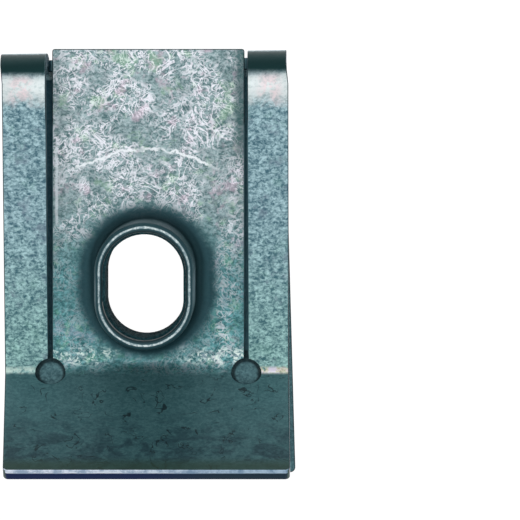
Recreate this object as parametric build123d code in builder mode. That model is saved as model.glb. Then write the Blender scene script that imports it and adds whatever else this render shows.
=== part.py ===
from build123d import *
import math
import os

# U-clip speed nut, folded from one strip of spring steel sheet.
# It lies on the outer face of its back leg: Z = 0 is that face, +Z points to the tip of
# the threaded barrel, +Y to the fold at the top and X runs across the width.
# The origin is at the middle of its length and width, on the plane that it rests on.

# Driving dimensions, in millimetres and degrees
sheet = 0.8
width = 17.0
mid_length = 12.5  # from the foot of the back leg to the origin

# The loop seen from its side, as corners of its outer surface before they are rounded.
# Each is a distance along the clip from the foot of the leg, then a height over the floor.
leg_length = 22.0
leg_corner = (24.87, 0.0)
crown_peak = (25.15, 3.45)
knee = (5.94, 2.19)
arm_length = 19.61
arm_lean = 15.7
flare_length = 7.98
flare_lean = 43.4
fold_radius = 2.0
crown_radius = 9.0
knee_radius = 0.3
flare_drift = 0.12  # how far the flare has run to the right at its end
leg_skew = 1.6  # the fold is half as much out of square, so the leg swings sideways
skew_pivot = 14.0
fold_halfway = 3.4  # height at which the fold's swing is handed from the leg to the arms
leg_clear = 1.1  # a height between the back leg and the knee
outline_margin = 1.0  # that the plan outline runs past both ends of the strip
corner_radius = 0.3
foot_break = 0.35
flare_break = 0.2

# The tongue, lanced out of the arms and bent back to stand beside the leg
lance_offset = 0.08  # from the middle of the width
window_width = 11.96
tongue_width = 11.52
tongue_length = 19.16
tongue_lean = 1.5
root_rise = 0.38  # how far the tongue's fold lies past the knee, along the flare
root_radius = 1.3
root_reach = 0.8
tip_corner_radius = 0.15
relief_diameter = 1.72
punch_depth = 1.5 * sheet
window_end = 24.0  # degrees below the level of the leg's fold centre where the window stops
window_floor = 1.3 * sheet  # height of the window cutter's underside, clear of the leg
window_depth = 1.4 * sheet  # of the window cutter, through the sheet at the knee

# The obround barrel drawn out of the tongue for the screw thread
barrel_foot = (11.47, 2.0)
barrel_long = 7.57
barrel_short = 5.88
barrel_height = 7.15
barrel_lean = 4.0
tip_slant = 2.5
bore_long = 6.44
bore_short = 4.95
bore_start = -0.95  # under the tongue's face, clear of the back leg
barrel_root_radius = 0.85
barrel_entry_radius = 0.35
tip_outer_radius = 0.26
tip_inner_radius = 0.18

# The clearance hole in the back leg
leg_hole_diameter = 7.0
leg_hole_place = 11.5

side_view = Plane(origin=(0, -mid_length, 0), x_dir=(0, 1, 0), z_dir=(1, 0, 0))
lance_view = side_view.offset(lance_offset)


def along(start, distance, lean):
    """A point of the side view, at a distance from start on a line that rises by lean."""
    angle = math.radians(lean)
    return (start[0] + distance * math.cos(angle), start[1] + distance * math.sin(angle))


def strip_plane(point, lean):
    """A plane on the sheet's face at a point of the side view, with its y axis up the sheet."""
    angle = math.radians(lean)
    return Plane(
        origin=side_view.from_local_coords((point[0], point[1], 0)),
        x_dir=(1, 0, 0),
        z_dir=(0, -math.sin(angle), math.cos(angle)),
    )


crown_lean = math.degrees(math.atan2(crown_peak[0] - leg_corner[0], crown_peak[1]))
fold_reach = fold_radius * math.tan(math.radians(90 - crown_lean) / 2)
fold_centre = (leg_corner[0] - fold_reach, fold_radius)
arm_top = along(knee, arm_length, arm_lean)
flare_end = along(knee, -flare_length, -flare_lean)
flare_cut = along(knee, -root_reach, -flare_lean)
tongue_root = along(knee, root_rise, -flare_lean)
tongue_tip = along(tongue_root, tongue_length, tongue_lean)
barrel_plane = strip_plane(barrel_foot, barrel_lean)
tip_point = along(barrel_foot, barrel_height, 90 + barrel_lean)
tip_plane = strip_plane(tip_point, barrel_lean + tip_slant)

# Plan outline: straight down the arms and the flare, swung sideways down the back leg
plan_top = leg_corner[0] - mid_length + outline_margin
plan_foot = -mid_length
leg_top = leg_length - mid_length
flare_foot = flare_end[0] - mid_length - outline_margin
knee_place = knee[0] - mid_length
fold_start = fold_centre[0] - mid_length
fold_crest = fold_start + fold_radius - sheet
half_width = width / 2


def swing(y):
    """How far the leg's middle is swung in X at a place y along it."""
    return (skew_pivot - mid_length - y) * math.tan(math.radians(leg_skew))


crest_swing = swing(fold_start) / 2


def relief_punch(upper_lean):
    """Cutter for the two relief holes, which were punched before the strip was folded.

    Each is half a round hole square to the flare, half a round hole square to the strip
    above the knee, and the wedge that opens between the two on the outside of the fold.
    """
    relief_place = (window_width + tongue_width) / 4
    places = (lance_offset - relief_place, lance_offset + relief_place)
    with BuildPart() as punch:
        for lean, half in ((-flare_lean, Align.MAX), (upper_lean, Align.MIN)):
            with BuildSketch(strip_plane(knee, lean)):
                with Locations((places[0], 0), (places[1], 0)):
                    Circle(relief_diameter / 2)
                Rectangle(
                    width, relief_diameter, align=(Align.CENTER, half), mode=Mode.INTERSECT
                )
            extrude(amount=punch_depth, both=True)
        for place in places:
            with BuildSketch(side_view.offset(place)):
                with BuildLine():
                    Polyline(
                        knee,
                        along(knee, -punch_depth, 90 - flare_lean),
                        along(knee, -punch_depth, 90 + upper_lean),
                        close=True,
                    )
                make_face()
            extrude(amount=relief_diameter / 2, both=True)
    return punch.part


def end_corners(shape, end):
    """The two corner edges of a strip, through the sheet, at its end in Y."""
    short = shape.edges().filter_by(GeomType.LINE).filter_by(lambda edge: edge.length < 1.1 * sheet)
    outer = short.filter_by(lambda edge: abs(edge.tangent_at(0).X) < 0.1)
    return outer.sort_by(Axis.Y, reverse=end > 0)[:2]


tongue_relief = relief_punch(tongue_lean)
arm_relief = relief_punch(arm_lean)

with BuildPart() as back_leg:
    # A flat plate with a broken lower edge, swung in line with the fold
    with BuildSketch(side_view):
        Rectangle(leg_length, sheet, align=Align.MIN)
        fillet(vertices().sort_by_distance((0, 0))[0], radius=foot_break)
    extrude(amount=width, both=True)
    with BuildSketch():
        Polygon(
            (swing(plan_foot) - half_width, plan_foot),
            (swing(plan_foot) + half_width, plan_foot),
            (swing(leg_top) + half_width, leg_top),
            (swing(leg_top) - half_width, leg_top),
            align=None,
        )
        fillet(vertices().group_by(Axis.Y)[0], radius=corner_radius)
    extrude(amount=sheet, mode=Mode.INTERSECT)

with BuildPart() as plan_outline:
    # Lower half of the fold, in line with the back leg and swung half as far at its crest
    with BuildSketch():
        Polygon(
            (swing(leg_top) - half_width, leg_top),
            (swing(leg_top) + half_width, leg_top),
            (swing(fold_start) + half_width, fold_start),
            (crest_swing + half_width, fold_crest),
            (crest_swing + half_width, plan_top),
            (crest_swing - half_width, plan_top),
            (crest_swing - half_width, fold_crest),
            (swing(fold_start) - half_width, fold_start),
            align=None,
        )
    extrude(amount=fold_halfway)

    # Flare and arms, which run over into the upper half of the fold
    with BuildSketch(Plane.XY.offset(leg_clear)):
        Polygon(
            (flare_drift - half_width, flare_foot),
            (flare_drift + half_width, flare_foot),
            (half_width, knee_place),
            (half_width, fold_start),
            (-half_width, fold_start),
            (-half_width, knee_place),
            align=None,
        )
    extrude(amount=2 * barrel_height)
    with BuildSketch(Plane.XY.offset(fold_halfway)):
        Polygon(
            (-half_width, fold_start),
            (half_width, fold_start),
            (crest_swing + half_width, fold_crest),
            (crest_swing + half_width, plan_top),
            (crest_swing - half_width, plan_top),
            (crest_swing - half_width, fold_crest),
            align=None,
        )
    extrude(amount=2 * barrel_height)

with BuildPart() as tongue:
    # The tongue and its fold, which starts square across the flare
    with BuildSketch(lance_view):
        with BuildLine():
            FilletPolyline(
                tongue_tip,
                tongue_root,
                flare_cut,
                radius=[root_radius],
            )
            offset(amount=sheet, side=Side.LEFT)
        make_face()
    extrude(amount=tongue_width / 2, both=True)
    fillet(end_corners(tongue, 1), radius=tip_corner_radius)
    add(tongue_relief, mode=Mode.SUBTRACT)

    # The obround barrel, which leans a little more than the tongue does
    with BuildSketch(barrel_plane.offset(-sheet / 2)):
        SlotOverall(barrel_long, barrel_short, rotation=90)
    extrude(amount=barrel_height + 2 * sheet)
    with BuildSketch(tip_plane):
        Rectangle(2 * barrel_short, 2 * barrel_long)
    extrude(amount=2 * sheet, mode=Mode.SUBTRACT)
    tongue_face = faces().filter_by(GeomType.PLANE).filter_by(lambda face: face.inner_wires())[0]
    fillet(tongue_face.inner_wires()[0].edges(), radius=barrel_root_radius)

    # The bore, with a drawn-in entry under the tongue and a broken edge at the tip
    with BuildSketch(barrel_plane.offset(bore_start)):
        SlotOverall(bore_long, bore_short, rotation=90)
    extrude(amount=2 * barrel_height, mode=Mode.SUBTRACT)
    rings = faces().filter_by(GeomType.PLANE).filter_by(lambda face: face.inner_wires())
    entry_face = rings.sort_by(Axis.Z)[0]
    tip_face = rings.sort_by(Axis.Z)[-1]
    fillet(tip_face.outer_wire().edges(), radius=tip_outer_radius)
    tip_face = faces().filter_by(GeomType.PLANE).sort_by(Axis.Z)[-1]
    fillet(tip_face.inner_wires()[0].edges(), radius=tip_inner_radius)
    fillet(entry_face.inner_wires()[0].edges(), radius=barrel_entry_radius)

with BuildPart() as u_nut_clip:
    # Top fold, arms and flare: one folded strip, with its fold a little out of square
    for side in (-width, width):
        lead = side * math.tan(math.radians(leg_skew / 2))
        with BuildSketch(side_view.offset(side)):
            with BuildLine():
                FilletPolyline(
                    (leg_length, 0),
                    (leg_corner[0] + lead, leg_corner[1]),
                    (crown_peak[0] + lead, crown_peak[1]),
                    (arm_top[0] + lead, arm_top[1]),
                    knee,
                    flare_end,
                    radius=[fold_radius, crown_radius, fold_radius, knee_radius],
                )
                offset(amount=sheet, side=Side.LEFT)
            make_face()
    loft(ruled=True)
    add(plan_outline.part, mode=Mode.INTERSECT)
    fillet(end_corners(u_nut_clip, -1), radius=corner_radius)
    flare_lip = edges().filter_by(Axis.X).sort_by(Axis.Z)[-1]
    fillet(flare_lip, radius=flare_break)

    add(back_leg.part)

    # The window that the tongue was lanced from, up the arms and over the fold
    with BuildSketch(lance_view):
        with BuildLine():
            Polyline(
                along(flare_cut, 2 * sheet, 90 - flare_lean),
                along(flare_cut, -window_depth, 90 - flare_lean),
                (knee[0], window_floor),
                (fold_centre[0], window_floor),
                along(fold_centre, sheet, -window_end),
                along(fold_centre, 2 * fold_radius, -window_end),
                (leg_corner[0] + fold_radius, crown_peak[1]),
                (leg_corner[0] + fold_radius, barrel_height + fold_radius),
                close=True,
            )
        make_face()
    extrude(amount=window_width / 2, both=True, mode=Mode.SUBTRACT)

    # Round relief holes at the foot of the two slits, punched before the knee was folded
    add(arm_relief, mode=Mode.SUBTRACT)
    add(tongue.part)

    # Clearance hole for the screw through the back leg
    with BuildSketch():
        with Locations((0, leg_hole_place - mid_length)):
            Circle(leg_hole_diameter / 2)
    extrude(amount=sheet, mode=Mode.SUBTRACT)

u_nut_clip.part.label = "u_nut_clip"
os.makedirs("parts", exist_ok=True)
export_step(u_nut_clip.part, "parts/u_nut_clip.step")
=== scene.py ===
import math

import bmesh
import bpy
from mathutils import Matrix, Vector


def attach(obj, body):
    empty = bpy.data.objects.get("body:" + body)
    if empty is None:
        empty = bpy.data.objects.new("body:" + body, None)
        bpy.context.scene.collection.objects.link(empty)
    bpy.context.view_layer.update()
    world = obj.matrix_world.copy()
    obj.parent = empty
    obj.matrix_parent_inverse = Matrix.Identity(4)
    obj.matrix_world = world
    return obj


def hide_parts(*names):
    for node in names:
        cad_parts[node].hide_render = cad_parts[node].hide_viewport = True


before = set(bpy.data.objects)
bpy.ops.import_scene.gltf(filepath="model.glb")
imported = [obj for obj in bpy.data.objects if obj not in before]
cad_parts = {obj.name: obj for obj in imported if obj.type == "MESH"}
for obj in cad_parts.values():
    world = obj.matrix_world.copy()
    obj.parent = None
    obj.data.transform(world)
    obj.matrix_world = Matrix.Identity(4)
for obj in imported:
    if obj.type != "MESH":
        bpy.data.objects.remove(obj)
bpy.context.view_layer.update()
for leftover in ("Cube", "Light", "Camera"):
    if leftover in bpy.data.objects:
        bpy.data.objects.remove(bpy.data.objects[leftover])


# The folded strip: 0.8 mm spring steel, blanked and pierced flat, then folded, with the tongue lanced
# out of it and the barrel drawn through the tongue. Blanking rolls its edges over by a few hundredths.
# It is zinc plated, teal grey, rubbed pale in places, with painted highlights on its bends and painted shade
# in its hollows.
EDGE_ROLL = 0.00005
SAME_POINT = 0.000001
SLIVER = 0.00004
LEVEL = math.radians(0.4)
CORNER = math.radians(50)
CREASE = math.radians(35)
solid = bmesh.new()
solid.from_mesh(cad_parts["u_nut_clip"].data)
bmesh.ops.remove_doubles(solid, verts=solid.verts, dist=SAME_POINT)
bmesh.ops.dissolve_limit(solid, angle_limit=LEVEL, verts=solid.verts, edges=solid.edges)
bmesh.ops.remove_doubles(solid, verts=solid.verts, dist=SLIVER)


def is_sheared(face):
    """True for a face that the blanking and lancing tools cut through the sheet."""
    across, along, height = face.calc_center_median()
    strip_side = abs(face.normal.x) > 0.9 and abs(across) > 0.0052
    foot_of_leg = face.normal.y < -0.9 and height < 0.0009
    end_of_flare = along < -0.0125 and face.normal.z > 0.6 and face.normal.y < -0.6
    end_of_tongue = along > 0.0127 and face.normal.y > 0.9 and height < 0.0026 and abs(across) < 0.0058
    end_of_window = along > 0.0113 and face.normal.z > 0.8 and height < 0.0022 and abs(across) < 0.006
    return strip_side or foot_of_leg or end_of_flare or end_of_tongue or end_of_window


PLATE, SHEARED, ROLLED = 0, 1, 2
for face in solid.faces:
    face.smooth = True
    face.material_index = SHEARED if is_sheared(face) else PLATE
corners = [edge for edge in solid.edges if edge.calc_face_angle_signed(0) > CORNER]
rolled = bmesh.ops.bevel(
    solid,
    geom=corners,
    offset=EDGE_ROLL,
    affect="EDGES",
    segments=2,
    profile=0.5,
    material=-1,
    clamp_overlap=False,
)
for face in rolled["faces"]:
    face.smooth = True
    face.material_index = ROLLED
strip_mesh = bpy.data.meshes.new("folded_strip")
solid.to_mesh(strip_mesh)
solid.free()
strip_mesh.set_sharp_from_angle(angle=CREASE)
strip = bpy.data.objects.new("folded_strip", strip_mesh)
bpy.context.collection.objects.link(strip)
strip.modifiers.new("even_normals", "WEIGHTED_NORMAL").keep_sharp = True


def node(tree, kind, inputs=(), **settings):
    """A new node, with its settings, and each named or numbered input set or linked."""
    made = tree.nodes.new(kind)
    for name, value in settings.items():
        setattr(made, name, value)
    for name, value in dict(inputs).items():
        if isinstance(value, bpy.types.NodeSocket):
            tree.links.new(value, made.inputs[name])
        else:
            made.inputs[name].default_value = value
    return made


def maths(tree, operation, *values):
    return node(tree, "ShaderNodeMath", dict(enumerate(values)), operation=operation).outputs[0]


def product(tree, *values):
    total = values[0]
    for value in values[1:]:
        total = maths(tree, "MULTIPLY", total, value)
    return total


def step(tree, value, low, high, floor=0.0, top=1.0):
    """A smooth step from floor to top as the value goes from low to high."""
    made = node(
        tree,
        "ShaderNodeMapRange",
        {"Value": value, "From Min": low, "From Max": high, "To Min": floor, "To Max": top},
        interpolation_type="SMOOTHSTEP",
    )
    return made.outputs["Result"]


def tint(tree, blend, factor, first, second):
    """Two colours blended by a factor."""
    made = node(tree, "ShaderNodeMix", data_type="RGBA", blend_type=blend)
    for socket, value in ((0, factor), (6, first), (7, second)):
        if isinstance(value, bpy.types.NodeSocket):
            tree.links.new(value, made.inputs[socket])
        else:
            made.inputs[socket].default_value = value if isinstance(value, float) else (*value, 1.0)
    return made.outputs[2]


def noise(tree, vector, scale, detail, roughness, distortion=0.0):
    made = node(
        tree,
        "ShaderNodeTexNoise",
        {
            "Vector": vector,
            "Scale": scale,
            "Detail": detail,
            "Roughness": roughness,
            "Distortion": distortion,
        },
    )
    return made.outputs["Fac"]


def in_millimetres(tree, stretch=(1000.0, 1000.0, 1000.0)):
    """The object's own coordinates, in millimetres or stretched along an axis."""
    place = node(tree, "ShaderNodeTexCoord").outputs["Object"]
    return node(tree, "ShaderNodeVectorMath", {0: place, 1: stretch}, operation="MULTIPLY").outputs[0]


def apart(tree, value, place):
    """How far a value is from a place, to either side of it."""
    return maths(tree, "ABSOLUTE", maths(tree, "SUBTRACT", value, place))


def distance(tree, across, along):
    """The distance, in plan, made up by one length across the strip and one along it."""
    pair = node(tree, "ShaderNodeCombineXYZ", {0: across, 1: along}).outputs[0]
    return node(tree, "ShaderNodeVectorMath", {0: pair}, operation="LENGTH").outputs["Value"]


# Zinc grain, shared by each surface of the clip: fine crystals, wider clouds and a faint play of colour
zinc_grain = bpy.data.node_groups.new("zinc_grain", "ShaderNodeTree")
zinc_grain.interface.new_socket("Place", in_out="INPUT", socket_type="NodeSocketVector")
zinc_grain.interface.new_socket("Fineness", in_out="INPUT", socket_type="NodeSocketFloat")
for name in ("Crystals", "Clouds", "Pink", "Green"):
    zinc_grain.interface.new_socket(name, in_out="OUTPUT", socket_type="NodeSocketFloat")
ends = node(zinc_grain, "NodeGroupInput"), node(zinc_grain, "NodeGroupOutput")
spot, fineness = ends[0].outputs["Place"], ends[0].outputs["Fineness"]
crystals = noise(zinc_grain, spot, maths(zinc_grain, "MULTIPLY", fineness, 4.2), 3.0, 0.7, 0.6)
clouds = noise(zinc_grain, spot, maths(zinc_grain, "MULTIPLY", fineness, 0.55), 4.0, 0.65)
hues = node(
    zinc_grain,
    "ShaderNodeTexNoise",
    {"Vector": spot, "Scale": maths(zinc_grain, "MULTIPLY", fineness, 0.8), "Detail": 3.0, "Roughness": 0.7},
)
hues = node(zinc_grain, "ShaderNodeSeparateColor", {0: hues.outputs["Color"]})
zinc_grain.links.new(step(zinc_grain, crystals, 0.36, 0.64), ends[1].inputs["Crystals"])
zinc_grain.links.new(step(zinc_grain, clouds, 0.35, 0.65), ends[1].inputs["Clouds"])
zinc_grain.links.new(step(zinc_grain, hues.outputs[0], 0.54, 0.68), ends[1].inputs["Pink"])
zinc_grain.links.new(step(zinc_grain, hues.outputs[1], 0.54, 0.68), ends[1].inputs["Green"])


# A painted highlight along the lip of the flare, shared by its sheared end and the corner above: a bright
# line that is dimmer to the right
lip_highlight = bpy.data.node_groups.new("lip_highlight", "ShaderNodeTree")
lip_highlight.interface.new_socket("Place", in_out="INPUT", socket_type="NodeSocketVector")
lip_highlight.interface.new_socket("Mask", in_out="OUTPUT", socket_type="NodeSocketFloat")
lip_highlight.interface.new_socket("Tone", in_out="OUTPUT", socket_type="NodeSocketColor")
ends = node(lip_highlight, "NodeGroupInput"), node(lip_highlight, "NodeGroupOutput")
spot = node(lip_highlight, "ShaderNodeSeparateXYZ", {0: ends[0].outputs["Place"]})
x, y, z = spot.outputs[0], spot.outputs[1], spot.outputs[2]
past_end = maths(lip_highlight, "MULTIPLY_ADD", y, -0.727, maths(lip_highlight, "MULTIPLY_ADD", z, 0.687, -14.255))
depth = maths(lip_highlight, "MULTIPLY_ADD", y, -0.687, maths(lip_highlight, "MULTIPLY_ADD", z, -0.727, -2.929))
uneven = maths(lip_highlight, "SUBTRACT", noise(lip_highlight, ends[0].outputs["Place"], 1.3, 4.0, 0.7), 0.5)
depth = maths(lip_highlight, "MULTIPLY_ADD", uneven, 0.12, depth)
mask = product(lip_highlight, step(lip_highlight, past_end, -0.20, -0.12), step(lip_highlight, depth, 0.29, 0.21))
mask = product(lip_highlight, mask, step(lip_highlight, maths(lip_highlight, "ABSOLUTE", x), 8.6, 8.4))
tone = tint(lip_highlight, "MIX", step(lip_highlight, uneven, -0.14, 0.10), (0.34, 0.44, 0.58), (0.80, 0.86, 0.98))
tone = tint(lip_highlight, "MULTIPLY", step(lip_highlight, x, -4.0, 6.0, 0.0, 0.75), tone, (0.40, 0.58, 0.66))
lip_highlight.links.new(mask, ends[1].inputs["Mask"])
lip_highlight.links.new(tone, ends[1].inputs["Tone"])


def grained(name, fineness):
    """A new metal with the zinc grain in it: its material, tree, shader, place in millimetres and grain."""
    made = bpy.data.materials.new(name)
    made.use_nodes = True
    tree = made.node_tree
    place = in_millimetres(tree)
    grain = node(tree, "ShaderNodeGroup", node_tree=zinc_grain)
    tree.links.new(place, grain.inputs["Place"])
    grain.inputs["Fineness"].default_value = fineness
    return made, tree, tree.nodes["Principled BSDF"], place, grain.outputs


# Places that the looks share, in millimetres, and the painted shade down in the left and the right slit
STRIP_MIDDLE = 0.08
SLIT_PLACE = 5.87
RELIEF_PLACE = -6.56
BARREL_MIDDLE = -0.89
BARREL_LEAN = 0.07
BARREL_STRAIGHT = 0.845
BARREL_ROUND = 2.94
LEFT_SLIT_SHADE = (0.016, 0.058, 0.082)
RIGHT_SLIT_SHADE = (0.044, 0.120, 0.150)
zinc, tree, shader, mm, grain = grained("zinc_plate", 1.0)
spot = node(tree, "ShaderNodeSeparateXYZ", {0: mm})
x, y, z = spot.outputs[0], spot.outputs[1], spot.outputs[2]
facing = node(tree, "ShaderNodeSeparateXYZ", {0: node(tree, "ShaderNodeNewGeometry").outputs["Normal"]})
back, up = facing.outputs[1], facing.outputs[2]
outward = maths(tree, "ABSOLUTE", x)

# Where each part of the strip lies
above_leg = step(tree, z, 0.95, 1.1)
in_window = product(tree, step(tree, outward, 6.0, 5.8), above_leg)
looks_up = step(tree, up, 0.0, 0.2)
looks_down = product(tree, step(tree, up, -0.1, -0.3), step(tree, z, 0.1, 0.3))
ragged = maths(tree, "SUBTRACT", noise(tree, mm, 1.6, 4.0, 0.7), 0.5)
past_knee = tint(tree, "MIX", in_window, step(tree, y, -6.45, -6.62), step(tree, y, -6.1, -6.85))
on_flare = product(tree, past_knee, above_leg, looks_up)
barrel_y = maths(tree, "ADD", maths(tree, "MULTIPLY_ADD", z, BARREL_LEAN, y), -BARREL_MIDDLE)
off_middle = maths(tree, "ABSOLUTE", barrel_y)
barrel_y = maths(tree, "MAXIMUM", maths(tree, "SUBTRACT", off_middle, BARREL_STRAIGHT), 0.0)
from_barrel = maths(tree, "SUBTRACT", distance(tree, x, barrel_y), BARREL_ROUND)

# Arms and leg: mid teal grey with fine pale crystals, bluer near the fold and greener near the knee
fine = noise(tree, in_millimetres(tree, (4600.0, 6200.0, 6200.0)), 1.0, 2.5, 0.65, 0.5)
shade = maths(tree, "MULTIPLY_ADD", fine, 0.8, maths(tree, "MULTIPLY", noise(tree, mm, 1.9, 3.0, 0.7), 0.45))
speckle = step(tree, shade, 0.44, 0.84)
base = tint(tree, "MIX", speckle, (0.060, 0.150, 0.195), (0.47, 0.67, 0.72))
dark_clouds = step(tree, noise(tree, mm, 0.8, 5.0, 0.75), 0.54, 0.68, 0.0, 0.6)
base = tint(tree, "MIX", dark_clouds, base, (0.075, 0.16, 0.19))
base = tint(tree, "MULTIPLY", step(tree, y, 4.0, -6.0, 0.0, 0.7), base, (0.82, 1.0, 0.84))
base = tint(tree, "MIX", product(tree, grain["Pink"], 0.15), base, (0.38, 0.36, 0.52))
base = tint(tree, "MIX", product(tree, grain["Green"], 0.15), base, (0.22, 0.45, 0.36))

# Tongue: the same plating, rubbed to a net of pale curls by the coiled strip above it
worn = noise(tree, mm, 0.38, 3.0, 0.6)


def curls(scale, detail, distortion, width):
    """Thin wandering lines, where a noise passes through its middle value."""
    field = apart(tree, noise(tree, mm, scale, detail, 0.55, distortion), 0.5)
    return step(tree, field, width, width * 0.35)


low = step(tree, y, 4.5, -1.5)
rubbed = tint(tree, "MIX", speckle, (0.080, 0.160, 0.170), (0.38, 0.49, 0.51))
rubbed = tint(tree, "MIX", product(tree, grain["Pink"], 0.5), rubbed, (0.60, 0.44, 0.54))
rubbed = tint(tree, "MIX", product(tree, grain["Green"], 0.5), rubbed, (0.27, 0.46, 0.30))
rubbed = tint(tree, "MULTIPLY", low, rubbed, (0.40, 0.78, 0.80))
streak = maths(tree, "ABSOLUTE", maths(tree, "MULTIPLY_ADD", ragged, 4.2, maths(tree, "SUBTRACT", x, 4.6)))
streak = product(tree, step(tree, streak, 0.9, 0.1), step(tree, y, 8.0, 5.0))
amount = maths(tree, "MAXIMUM", step(tree, low, 0.0, 1.0, 1.0, 0.25), product(tree, streak, 0.6))
net = maths(tree, "MAXIMUM", curls(0.85, 3.0, 1.3, 0.032), product(tree, curls(1.8, 2.5, 1.4, 0.05), 0.75))
net = product(tree, net, step(tree, worn, 0.40, 0.54, 0.15, 1.0))
net = product(tree, net, step(tree, shade, 0.34, 0.62, 0.5, 1.0), amount)
pale = tint(tree, "MIX", product(tree, grain["Green"], 0.7), (0.82, 0.82, 0.88), (0.62, 0.80, 0.68))
pale = tint(tree, "MIX", product(tree, grain["Pink"], 0.7), pale, (0.84, 0.72, 0.82))
rubbed = tint(tree, "MIX", net, rubbed, pale)
on_tongue = product(tree, in_window, looks_up)
shaded_side = product(tree, step(tree, x, 5.0, 5.55), step(tree, y, 5.5, 7.5))
rubbed = tint(tree, "MIX", product(tree, shaded_side, 0.8), rubbed, (0.055, 0.135, 0.140))
scuff = maths(tree, "MULTIPLY_ADD", ragged, 0.25, maths(tree, "ADD", x, 5.42))
scuff = step(tree, maths(tree, "ABSOLUTE", scuff), 0.12, 0.05)
scuff = product(tree, scuff, step(tree, y, 2.0, 2.8), step(tree, y, 7.4, 6.8), 0.65)
rubbed = tint(tree, "MIX", scuff, rubbed, (0.74, 0.80, 0.84))
arc = distance(tree, x, maths(tree, "ADD", y, 1.03))
arc = apart(tree, maths(tree, "MULTIPLY_ADD", ragged, 0.9, arc), 7.9)
arc = product(tree, step(tree, arc, 0.12, 0.05), step(tree, y, 5.5, 5.9))
arc = product(tree, arc, step(tree, worn, 0.36, 0.46, 0.25, 0.9))
rubbed = tint(tree, "MIX", arc, rubbed, (0.84, 0.87, 0.90))
base = tint(tree, "MIX", on_tongue, base, rubbed)

# Barrel: painted shade round its root on the tongue, a painted highlight down its flat sides, and a painted
# highlight ring round its lip
edge = maths(tree, "MULTIPLY_ADD", ragged, 0.5, from_barrel)
edge = maths(tree, "MULTIPLY_ADD", maths(tree, "ABSOLUTE", barrel_y), 0.12, edge)
root_shade = product(tree, step(tree, edge, 2.4, 1.0, 0.0, 0.5), in_window)
base = tint(tree, "MIX", root_shade, base, (0.062, 0.170, 0.182))
root_shadow = product(tree, step(tree, edge, 1.55, 0.85), in_window)
base = tint(tree, "MIX", product(tree, root_shadow, 0.96), base, (0.018, 0.060, 0.074))
# Painted highlight down the middle of the barrel's flat sides
flank_highlight = product(tree, step(tree, off_middle, 1.9, 0.1), step(tree, z, 2.8, 6.0), step(tree, z, 9.4, 8.2))
flank_highlight = product(tree, flank_highlight, step(tree, ragged, -0.20, 0.10, 0.5, 1.0), in_window)
flank_highlight = product(tree, flank_highlight, step(tree, from_barrel, -0.30, -0.22), step(tree, outward, 3.3, 3.2))
flank_highlight = product(tree, flank_highlight, step(tree, maths(tree, "ABSOLUTE", facing.outputs[0]), 0.5, 0.7))
base = tint(tree, "MIX", product(tree, flank_highlight, 0.9), base, (0.34, 0.45, 0.50))
# Painted highlight: a thin bright ring round the crest of the barrel's lip
ring = maths(tree, "ABSOLUTE", maths(tree, "ADD", from_barrel, 0.272))
ring = maths(tree, "MULTIPLY_ADD", ragged, 0.12, ring)
ring = product(tree, step(tree, ring, 0.08, 0.03), step(tree, z, 8.2, 8.4), in_window)
ring_highlight = tint(tree, "MIX", grain["Crystals"], (0.26, 0.35, 0.38), (0.68, 0.75, 0.75))
ring_highlight = tint(tree, "MULTIPLY", step(tree, outward, 1.6, 2.5, 0.0, 0.8), ring_highlight, (0.62, 0.68, 0.70))
base = tint(tree, "MIX", ring, base, ring_highlight)

# Flare: dark green grey with painted shade in it, darkest towards its lip, with small black ticks, and olive
# at its lip
flare_shade = tint(tree, "MIX", speckle, (0.046, 0.138, 0.155), (0.096, 0.225, 0.240))
mottle = noise(tree, in_millimetres(tree, (700.0, 1300.0, 1300.0)), 1.0, 4.0, 0.7, 0.6)
mottle = product(tree, step(tree, mottle, 0.42, 0.62), step(tree, y, -8.5, -11.0, 0.15, 1.0))
flare_shade = tint(tree, "MULTIPLY", mottle, flare_shade, (0.46, 0.50, 0.56))
ticks = product(tree, curls(0.55, 3.0, 0.8, 0.014), step(tree, noise(tree, mm, 0.9, 1.0, 0.5), 0.5, 0.56))
flare_shade = tint(tree, "MULTIPLY", step(tree, y, -7.5, -12.0, 0.0, 1.0), flare_shade, (0.72, 0.74, 0.74))
flare_shade = tint(tree, "MIX", product(tree, ticks, 0.85), flare_shade, (0.008, 0.022, 0.028))
flare_shade = tint(tree, "MIX", step(tree, y, -11.5, -12.1, 0.0, 0.75), flare_shade, (0.030, 0.066, 0.046))
base = tint(tree, "MIX", on_flare, base, flare_shade)

# Knee: painted highlight along the bend line of the arms and on the foot of the tongue, in pale flecks
knee = step(tree, maths(tree, "ABSOLUTE", maths(tree, "ADD", y, 6.38)), 0.30, 0.05)
knee = product(tree, knee, step(tree, outward, 6.5, 6.9), step(tree, z, 4.0, 3.6), looks_up)
foot = step(tree, maths(tree, "ABSOLUTE", maths(tree, "ADD", y, 5.55)), 0.75, 0.2)
foot = product(tree, foot, step(tree, outward, 1.2, 3.2), on_tongue)
foot = product(tree, foot, step(tree, ragged, -0.08, 0.10), step(tree, shade, 0.58, 0.70))
knee_highlight = tint(tree, "MIX", step(tree, ragged, -0.1, 0.1), (0.74, 0.66, 0.38), (0.78, 0.72, 0.84))
knee_highlight = tint(tree, "MIX", step(tree, x, 6.0, 7.0), (0.56, 0.72, 0.66), knee_highlight)
base = tint(tree, "MIX", product(tree, knee, step(tree, ragged, -0.16, 0.02)), base, knee_highlight)
base = tint(tree, "MIX", product(tree, foot, 0.9), base, (0.74, 0.84, 0.78))

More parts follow.
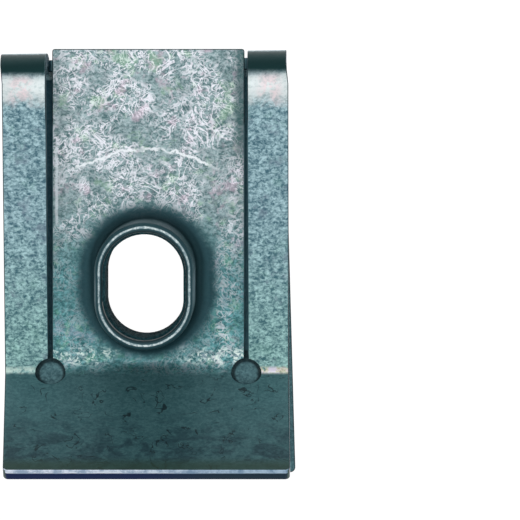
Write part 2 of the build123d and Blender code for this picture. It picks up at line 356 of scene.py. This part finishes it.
# Fold: painted highlight on its crest and painted shade where the metal turns over
arms_fold = product(tree, step(tree, z, 4.0, 4.4), step(tree, outward, 5.9, 6.0), step(tree, y, 8.5, 9.0))
turned = maths(tree, "MULTIPLY_ADD", ragged, 0.35, back)
reach = step(tree, maths(tree, "MULTIPLY_ADD", ragged, 1.6, y), 9.0, 10.1)
crest = product(tree, reach, step(tree, turned, 0.46, 0.12), arms_fold)
turn_shade = product(tree, step(tree, back, 0.22, 0.45), step(tree, back, 0.99, 0.95), looks_up, arms_fold)
blush = step(tree, apart(tree, outward, 7.4), 1.0, 0.2)
blush = product(tree, blush, step(tree, ragged, -0.12, 0.06))
crest_highlight = tint(tree, "MIX", blush, (0.76, 0.81, 0.81), (0.86, 0.72, 0.74))
crest_highlight = tint(tree, "MIX", step(tree, shade, 0.66, 0.46, 0.0, 0.45), crest_highlight, (0.46, 0.58, 0.58))
base = tint(tree, "MIX", product(tree, crest, 0.94), base, crest_highlight)
base = tint(tree, "MIX", turn_shade, base, (0.008, 0.040, 0.042))

# Inside the clip: painted shade on the faces inside, under the slits, round the relief holes and down the
# bore
inner_leg = product(tree, step(tree, z, 1.05, 0.95), step(tree, up, 0.5, 0.8))
inside = maths(tree, "MAXIMUM", looks_down, inner_leg)
bore = product(tree, step(tree, from_barrel, -0.38, -0.42), above_leg)
inner_shade = tint(tree, "MIX", speckle, (0.045, 0.105, 0.122), (0.095, 0.200, 0.225))
slit_shadow = step(tree, apart(tree, outward, SLIT_PLACE), 0.6, 0.35)
slit_shadow = product(tree, slit_shadow, step(tree, y, -5.9, -5.5), inner_leg)
slit_shade = tint(tree, "MIX", step(tree, x, -1.0, 1.0), LEFT_SLIT_SHADE, RIGHT_SLIT_SHADE)
inner_shade = tint(tree, "MIX", slit_shadow, inner_shade, slit_shade)
from_slits = maths(tree, "SUBTRACT", apart(tree, x, STRIP_MIDDLE), SLIT_PLACE)
from_relief = distance(tree, from_slits, maths(tree, "ADD", y, -RELIEF_PLACE))
relief_shadow = product(tree, step(tree, from_relief, 0.62, 0.76), step(tree, from_relief, 1.5, 1.3), inner_leg)
inner_shade = tint(tree, "MIX", relief_shadow, inner_shade, (0.010, 0.028, 0.036))
base = tint(tree, "MIX", product(tree, inside, 0.95), base, inner_shade)
base = tint(tree, "MIX", bore, base, (0.010, 0.040, 0.050))
tree.links.new(base, shader.inputs["Base Color"])
tree.links.new(step(tree, shade, 0.44, 0.84, 0.46, 0.36), shader.inputs["Roughness"])
dulled = maths(tree, "MAXIMUM", on_flare, bore)
tree.links.new(step(tree, dulled, 0.0, 1.0, 0.8, 0.35), shader.inputs["Metallic"])
bumps = node(tree, "ShaderNodeBump", {"Height": shade, "Strength": 0.35, "Distance": 0.00002})
tree.links.new(bumps.outputs[0], shader.inputs["Normal"])

# Sheared faces: bare pale metal on the outer edges, painted shade on those down in the slits, dark navy at
# the end of the flare, and the painted highlight of the flare's lip
sheared, tree, shader, mm, grain = grained("sheared_edge", 1.4)
spot = node(tree, "ShaderNodeSeparateXYZ", {0: mm})
x, y, z = spot.outputs[0], spot.outputs[1], spot.outputs[2]
base = tint(tree, "MIX", grain["Crystals"], (0.56, 0.58, 0.64), (0.80, 0.80, 0.88))
base = tint(tree, "MIX", product(tree, grain["Pink"], 0.25), base, (0.86, 0.68, 0.80))
base = tint(tree, "MIX", product(tree, grain["Green"], 0.25), base, (0.60, 0.76, 0.66))
inwards = apart(tree, x, STRIP_MIDDLE)
in_slit_shade = tint(tree, "MIX", step(tree, x, -1.0, 1.0), LEFT_SLIT_SHADE, RIGHT_SLIT_SHADE)
off_foot = step(tree, y, -12.2, -11.9)
base = tint(tree, "MIX", product(tree, off_foot, step(tree, inwards, 7.0, 6.8)), base, in_slit_shade)
base = tint(tree, "MIX", product(tree, off_foot, step(tree, inwards, 5.90, 5.84)), base, (0.12, 0.23, 0.26))
end_of_flare = product(tree, step(tree, y, -12.1, -12.2), step(tree, z, 2.0, 3.0))
end_of_flare = product(tree, end_of_flare, step(tree, maths(tree, "ABSOLUTE", x), 8.60, 8.55))
# Dark navy at the end of the flare
navy_end = tint(tree, "MIX", step(tree, x, -1.0, 5.0), (0.005, 0.017, 0.074), (0.010, 0.030, 0.050))
base = tint(tree, "MIX", end_of_flare, base, navy_end)
lip = node(tree, "ShaderNodeGroup", {"Place": mm}, node_tree=lip_highlight).outputs
base = tint(tree, "MIX", lip["Mask"], base, lip["Tone"])
tree.links.new(base, shader.inputs["Base Color"])
shader.inputs["Roughness"].default_value = 0.45
shader.inputs["Metallic"].default_value = 0.6
shader.inputs["Specular IOR Level"].default_value = 0.2

# Rolled corners: painted shade along the rounded edges, paler beside the slits, and the painted highlight of
# the flare's lip
rolled_corner, tree, shader, mm, grain = grained("rolled_corner", 1.0)
spot = node(tree, "ShaderNodeSeparateXYZ", {0: mm})
base = tint(tree, "MIX", grain["Crystals"], (0.008, 0.024, 0.030), (0.028, 0.066, 0.078))
beside_slit = maths(tree, "SUBTRACT", apart(tree, spot.outputs[0], STRIP_MIDDLE), SLIT_PLACE)
beside_slit = step(tree, maths(tree, "ABSOLUTE", beside_slit), 0.30, 0.22)
along_slit = product(tree, step(tree, spot.outputs[1], -5.6, -5.3), step(tree, spot.outputs[1], 8.6, 8.0))
base = tint(tree, "MIX", product(tree, beside_slit, along_slit, 0.8), base, (0.11, 0.22, 0.25))
lip = node(tree, "ShaderNodeGroup", {"Place": mm}, node_tree=lip_highlight).outputs
base = tint(tree, "MIX", lip["Mask"], base, lip["Tone"])
tree.links.new(base, shader.inputs["Base Color"])
shader.inputs["Roughness"].default_value = 0.5
shader.inputs["Metallic"].default_value = 0.7
shader.inputs["Specular IOR Level"].default_value = 0.2
for material in (zinc, sheared, rolled_corner):
    strip_mesh.materials.append(material)
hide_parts("u_nut_clip")
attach(strip, "root")


# The thread in the barrel: an M6 screw thread of 1 mm pitch, tapped in the two rounded ends of its bore,
# which stand 1.5 mm apart so that the screw can float along the clip. Its ridge is about a third of a
# full thread's height, and leans with the barrel.
PITCH = 0.001
TURNS = 6.5
ROUND_RADIUS = 0.00248
CREST_RADIUS = 0.00231
SUNK_RADIUS = ROUND_RADIUS + 0.0001
HALF_FOOT = 0.40 * PITCH
HALF_CREST = 0.06 * PITCH
HALF_FLOAT = 0.00075
STEPS = 48
FIRST_TURN = (0, -0.001033, 0.00205)
THREAD_LEAN = math.radians(4.0)
screw = bmesh.new()
ridge = [
    screw.verts.new((SUNK_RADIUS, 0.0, -HALF_FOOT)),
    screw.verts.new((CREST_RADIUS, 0.0, -HALF_CREST)),
    screw.verts.new((CREST_RADIUS, 0.0, HALF_CREST)),
    screw.verts.new((SUNK_RADIUS, 0.0, HALF_FOOT)),
]
outline = [screw.edges.new((ridge[place], ridge[(place + 1) % 4])) for place in range(4)]
screw.faces.new(ridge)
bmesh.ops.rotate(screw, verts=ridge, cent=(0, 0, 0), matrix=Matrix.Rotation(math.pi / STEPS, 3, "Z"))
spun = bmesh.ops.spin(
    screw,
    geom=ridge + outline,
    cent=(0, 0, 0),
    axis=(0, 0, 1),
    dvec=(0, 0, PITCH / STEPS),
    angle=2 * math.pi * TURNS,
    steps=int(STEPS * TURNS),
    use_merge=False,
    use_duplicate=False,
)
screw.faces.new([part for part in spun["geom_last"] if isinstance(part, bmesh.types.BMVert)])
for vert in screw.verts:
    vert.co.y += HALF_FLOAT if vert.co.y > 0 else -HALF_FLOAT
bmesh.ops.recalc_face_normals(screw, faces=screw.faces)
bmesh.ops.transform(
    screw,
    matrix=Matrix.Translation(FIRST_TURN) @ Matrix.Rotation(THREAD_LEAN, 4, "X"),
    verts=screw.verts,
)
thread_mesh = bpy.data.meshes.new("barrel_thread")
screw.to_mesh(thread_mesh)
screw.free()
thread = bpy.data.objects.new("barrel_thread", thread_mesh)
bpy.context.collection.objects.link(thread)

tapped, tree, shader, _, grain = grained("tapped_thread", 1.2)
# Its dark colour is painted shade, down in the bore
base = tint(tree, "MIX", grain["Crystals"], (0.009, 0.040, 0.050), (0.034, 0.105, 0.122))
tree.links.new(base, shader.inputs["Base Color"])
shader.inputs["Roughness"].default_value = 0.55
shader.inputs["Metallic"].default_value = 0.3
shader.inputs["Specular IOR Level"].default_value = 0.2
thread_mesh.materials.append(tapped)
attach(thread, "root")


# The table top that the clip lies on: a pale, plain sheet, set a hair under the leg so that the two
# faces don't meet
TABLE_SIZE = 2.0
TABLE_HEIGHT = -0.00002
bpy.ops.mesh.primitive_plane_add(size=TABLE_SIZE, location=(0, 0, TABLE_HEIGHT))
table = bpy.context.object
table.name = "table_top"
paper = bpy.data.materials.new("white_paper")
paper.use_nodes = True
tree = paper.node_tree
card = tree.nodes["Principled BSDF"]
card.inputs["Base Color"].default_value = (0.88, 0.88, 0.88, 1)
card.inputs["Roughness"].default_value = 0.8
rays = node(tree, "ShaderNodeLightPath")
seen = maths(tree, "MAXIMUM", rays.outputs["Is Camera Ray"], rays.outputs["Is Glossy Ray"])
seen = maths(tree, "MAXIMUM", seen, rays.outputs["Is Transmission Ray"])
glow = node(tree, "ShaderNodeEmission", {"Color": (1, 1, 1, 1), "Strength": 1.12})
blend = node(
    tree,
    "ShaderNodeMixShader",
    {0: maths(tree, "MULTIPLY", seen, 0.9), 1: card.outputs[0], 2: glow.outputs[0]},
)
tree.links.new(blend.outputs[0], tree.nodes["Material Output"].inputs["Surface"])
table.data.materials.append(paper)


# The camera, straight over the clip and a long way off
eye = Vector((0.01087, -0.0102, 0.4292))
aim = Vector((0.00677, 0.00023, 0.0017))
camera = bpy.data.objects.new("camera", bpy.data.cameras.new("camera"))
bpy.context.collection.objects.link(camera)
camera.location = eye
away = (eye - aim).normalized()
across = Vector((0, 1, 0)).cross(away).normalized()
camera.rotation_euler = Matrix((across, away.cross(across), away)).transposed().to_euler()
camera.data.sensor_width = 36.0
camera.data.lens = 493.5
camera.data.clip_start = 0.01
camera.data.clip_end = 10.0
bpy.context.scene.camera = camera


# Studio light: one broad soft box overhead in a bright room
room = bpy.data.worlds.new("studio")
bpy.context.scene.world = room
room.use_nodes = True
tree = room.node_tree
height = node(tree, "ShaderNodeSeparateXYZ", {0: node(tree, "ShaderNodeTexCoord").outputs["Generated"]})
glimmer = step(tree, height.outputs[2], 0.0, 0.9, 0.45, 0.9)
tree.links.new(glimmer, tree.nodes["Background"].inputs["Strength"])
tree.nodes["Background"].inputs["Color"].default_value = (0.96, 0.99, 1.0, 1)
bpy.context.scene.view_settings.view_transform = "Standard"
soft_box = bpy.data.lights.new("soft_box", "AREA")
soft_box.size = 0.5
soft_box.energy = 0.35
holder = bpy.data.objects.new("soft_box", soft_box)
bpy.context.collection.objects.link(holder)
holder.location = (0.0, 0.0, 0.60)
